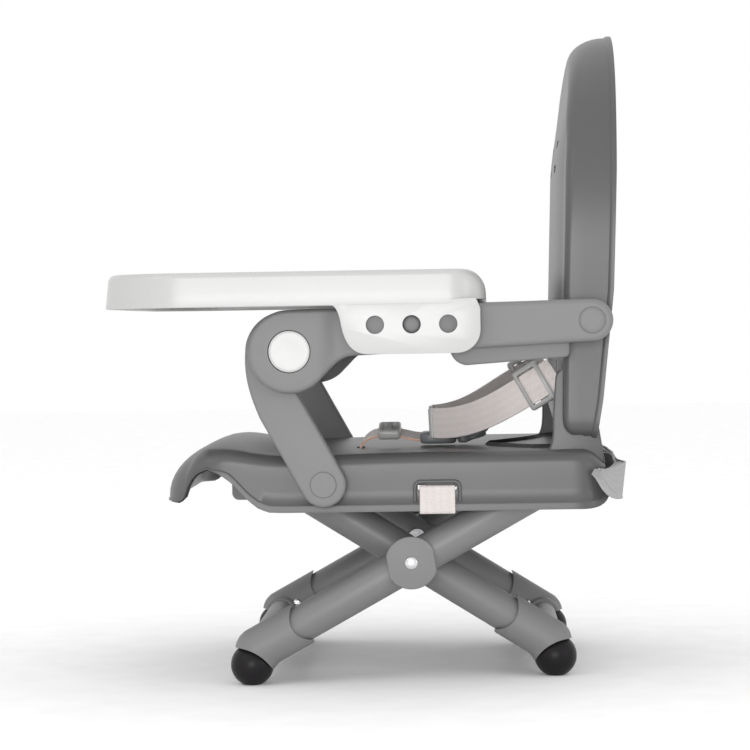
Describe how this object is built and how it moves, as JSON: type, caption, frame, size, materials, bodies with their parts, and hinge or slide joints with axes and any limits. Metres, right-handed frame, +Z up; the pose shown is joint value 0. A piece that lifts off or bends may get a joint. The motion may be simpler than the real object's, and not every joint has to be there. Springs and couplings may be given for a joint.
{
  "type": "folding booster high chair",
  "caption": "Folding booster high chair: moulded seat and backrest, linked armrests with a sliding tray, harness and a scissor leg frame on rubber feet.",
  "frame": {"origin": "on the floor under the middle of the whole chair's length and width", "axes": "+Z up, the chair faces -Y, +X is the child's left"},
  "size_m": [0.364, 0.364, 0.4635],
  "materials": {
    "shell_grey": "satin moulded polypropylene, mid grey",
    "frame_grey": "fine matt moulded plastic, light grey",
    "tube_grey": "light grey powder-coated tube",
    "off_white": "smooth off-white plastic",
    "web_pink": "woven webbing, pale pinkish white with coral edges",
    "web_grey": "woven webbing, light grey",
    "buckle_grey": "dark grey moulded acetal",
    "rubber": "black rubber, slight sheen",
    "steel": "bright plated steel"
  },
  "bodies": {
    "seat": {"seat_shell": "shell_grey", "leg_track_left": "frame_grey", "leg_track_right": "frame_grey", "leg_bracket_left": "frame_grey", "leg_bracket_right": "frame_grey", "front_catch": "shell_grey", "back_hinge_pins": "steel", "strut_pins": "frame_grey", "side_strap_left": "web_pink", "side_strap_right": "web_pink", "rear_strap": "web_grey", "waist_strap_left": "web_pink", "waist_strap_right": "web_pink", "waist_adjuster_left": "off_white", "waist_adjuster_right": "off_white", "crotch_strap": "web_pink", "crotch_adjuster": "off_white", "buckle_socket": "buckle_grey", "buckle_clip": "buckle_grey"},
    "backrest": {"back_shell": "shell_grey", "arm_pins": "steel"},
    "struts": {"strut_left": "frame_grey", "strut_right": "frame_grey"},
    "armrests": {"armrest_left": "frame_grey", "armrest_right": "frame_grey", "arm_liner_left": "shell_grey", "arm_liner_right": "shell_grey", "arm_caps": "frame_grey", "fold_spring_left": "steel", "fold_spring_right": "steel", "peg_spring_left": "steel", "peg_spring_right": "steel"},
    "fold_button_left": {"fold_button_left": "off_white"},
    "fold_button_right": {"fold_button_right": "off_white"},
    "peg_plates": {"peg_plate_left": "frame_grey", "peg_plate_right": "frame_grey"},
    "lock_peg_left": {"lock_peg_left": "frame_grey"},
    "lock_peg_right": {"lock_peg_right": "frame_grey"},
    "tray": {"tray": "off_white"},
    "front_legs": {"front_leg_left": "tube_grey", "front_leg_right": "tube_grey", "front_foot_bar": "tube_grey", "front_sleeve_left": "frame_grey", "front_sleeve_right": "frame_grey", "front_foot_left": "rubber", "front_foot_right": "rubber", "cross_discs": "frame_grey", "cross_rivets": "steel", "sleeve_screws_front": "steel"},
    "rear_legs": {"rear_leg_left": "tube_grey", "rear_leg_right": "tube_grey", "rear_foot_bar": "tube_grey", "rear_sleeve_left": "frame_grey", "rear_sleeve_right": "frame_grey", "rear_foot_left": "rubber", "rear_foot_right": "rubber", "track_pins": "steel", "sleeve_screws_rear": "steel"}
  },
  "joints": [
    {"name": "back_fold", "type": "hinge", "parent": "seat", "child": "backrest", "pos_m": [0, 0.1485, 0.185], "axis": [1, 0, 0], "range_deg": [0, 90], "deforming": ["waist_strap_left", "waist_strap_right", "waist_adjuster_left", "waist_adjuster_right"]},
    {"name": "strut_swing", "type": "hinge", "parent": "seat", "child": "struts", "pos_m": [0, -0.0285, 0.142], "axis": [1, 0, 0], "range_deg": [0, 72.9]},
    {"name": "arm_swing", "type": "hinge", "parent": "struts", "child": "armrests", "pos_m": [0, -0.05, 0.2345], "axis": [1, 0, 0], "range_deg": [-65.3, 0]},
    {"name": "tray_off", "type": "slide", "parent": "armrests", "child": "peg_plates", "axis": [0, -1, 0], "range_m": [0, 0.2]},
    {"name": "tray_position", "type": "slide", "parent": "peg_plates", "child": "tray", "axis": [0, -1, 0], "range_m": [-0.025, 0.025]},
    {"name": "lock_peg_left_press", "type": "slide", "parent": "peg_plates", "child": "lock_peg_left", "axis": [1, 0, 0], "range_m": [0, 0.0032], "stiffness_N_per_m": 400, "deforming": ["peg_spring_left"]},
    {"name": "lock_peg_right_press", "type": "slide", "parent": "peg_plates", "child": "lock_peg_right", "axis": [-1, 0, 0], "range_m": [0, 0.0032], "stiffness_N_per_m": 400, "deforming": ["peg_spring_right"]},
    {"name": "fold_button_left_press", "type": "slide", "parent": "armrests", "child": "fold_button_left", "axis": [-1, 0, 0], "range_m": [0, 0.0035], "stiffness_N_per_m": 600, "springref_m": -0.001, "deforming": ["fold_spring_left"]},
    {"name": "fold_button_right_press", "type": "slide", "parent": "armrests", "child": "fold_button_right", "axis": [1, 0, 0], "range_m": [0, 0.0035], "stiffness_N_per_m": 600, "springref_m": -0.001, "deforming": ["fold_spring_right"]},
    {"name": "leg_fold", "type": "hinge", "parent": "seat", "child": "front_legs", "pos_m": [0, 0.1258, 0.138], "axis": [1, 0, 0], "range_deg": [-25, 10]},
    {"name": "cross_fold", "type": "hinge", "parent": "front_legs", "child": "rear_legs", "pos_m": [0, 0.031, 0.08545], "axis": [1, 0, 0], "range_deg": [-22.5, 55.5]}
  ],
  "couplings": [
    {"joint": "strut_swing", "follows": "back_fold", "ratio": 0.80983},
    {"joint": "arm_swing", "follows": "back_fold", "ratio": -0.72545},
    {"joint": "tray_off", "follows": "back_fold", "m_per_rad": 0.12732},
    {"joint": "cross_fold", "follows": "leg_fold", "ratio": -2.11}
  ]
}
